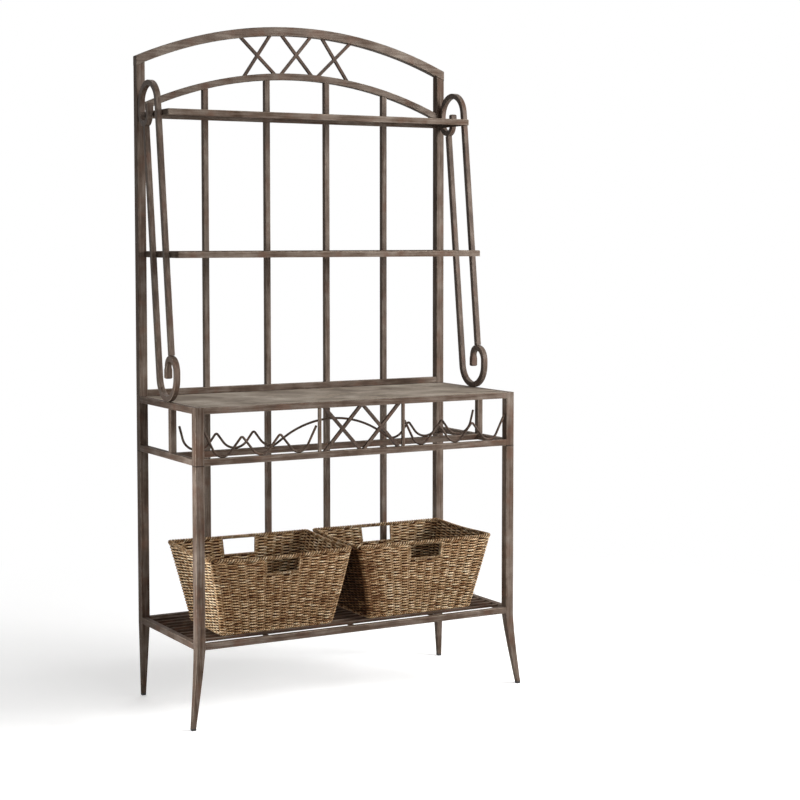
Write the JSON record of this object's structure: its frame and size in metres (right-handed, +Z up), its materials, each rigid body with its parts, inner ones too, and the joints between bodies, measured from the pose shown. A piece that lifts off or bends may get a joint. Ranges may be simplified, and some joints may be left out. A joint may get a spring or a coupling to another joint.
{
  "type": "bakers rack",
  "caption": "Steel bakers rack: arched hutch with shallow shelves and side scrolls over an inlaid table, a bottle rail and a wire shelf holding open tapered woven baskets.",
  "frame": {"origin": "on the floor, in the middle of the rack's whole footprint", "axes": "+X to the rack's right seen from the front, +Y to the back, +Z up"},
  "size_m": [0.9506, 0.3954, 1.7519],
  "materials": {
    "frame_metal": "hand-rubbed antique pewter bronze, satin",
    "table_top": "honed grey-brown faux marble, satin",
    "glide": "black moulded plastic, matt",
    "seagrass": "twisted seagrass cord, woven, dry and matt"
  },
  "bodies": {
    "frame": {"table_post_front_left": "frame_metal", "table_post_front_right": "frame_metal", "table_post_back_left": "frame_metal", "table_post_back_right": "frame_metal", "leg_front_left": "frame_metal", "leg_front_right": "frame_metal", "leg_back_left": "frame_metal", "leg_back_right": "frame_metal", "table_rail_front": "frame_metal", "table_rail_back": "frame_metal", "table_rail_left": "frame_metal", "table_rail_right": "frame_metal", "table_panel": "table_top", "wine_rail_front": "frame_metal", "wine_rail_middle": "frame_metal", "wine_rail_left": "frame_metal", "wine_rail_right": "frame_metal", "side_bar_left": "frame_metal", "side_bar_right": "frame_metal", "apron_bar_left": "frame_metal", "apron_bar_right": "frame_metal", "apron_cross_left": "frame_metal", "apron_cross_right": "frame_metal", "wine_wire_front_left": "frame_metal", "wine_wire_front_right": "frame_metal", "wine_wire_rear_left": "frame_metal", "wine_wire_rear_right": "frame_metal", "low_shelf_rail_front": "frame_metal", "low_shelf_rail_back": "frame_metal", "low_shelf_rail_left": "frame_metal", "low_shelf_rail_right": "frame_metal", "low_shelf_mat": "frame_metal", "base_back_bar_1": "frame_metal", "base_back_bar_2": "frame_metal", "base_back_bar_3": "frame_metal", "base_back_bar_4": "frame_metal", "glides": "glide", "arch_upper": "frame_metal", "arch_lower": "frame_metal", "upright_left": "frame_metal", "upright_right": "frame_metal", "hutch_rail_bottom": "frame_metal", "hutch_back_bar_1": "frame_metal", "hutch_back_bar_2": "frame_metal", "hutch_back_bar_3": "frame_metal", "hutch_back_bar_4": "frame_metal", "lattice_cross_left": "frame_metal", "lattice_cross_middle": "frame_metal", "lattice_cross_right": "frame_metal", "shelf_middle": "frame_metal", "shelf_top": "frame_metal", "scroll_front_left": "frame_metal", "scroll_back_left": "frame_metal", "scroll_front_right": "frame_metal", "scroll_back_right": "frame_metal"},
    "basket_left": {"basket_left": "seagrass"},
    "basket_right": {"basket_right": "seagrass"}
  },
  "joints": [
    {"name": "basket_left_slide", "type": "slide", "parent": "frame", "child": "basket_left", "axis": [0, -1, 0], "range_m": [0, 0.36]},
    {"name": "basket_right_slide", "type": "slide", "parent": "frame", "child": "basket_right", "axis": [0, -1, 0], "range_m": [0, 0.36]}
  ]
}
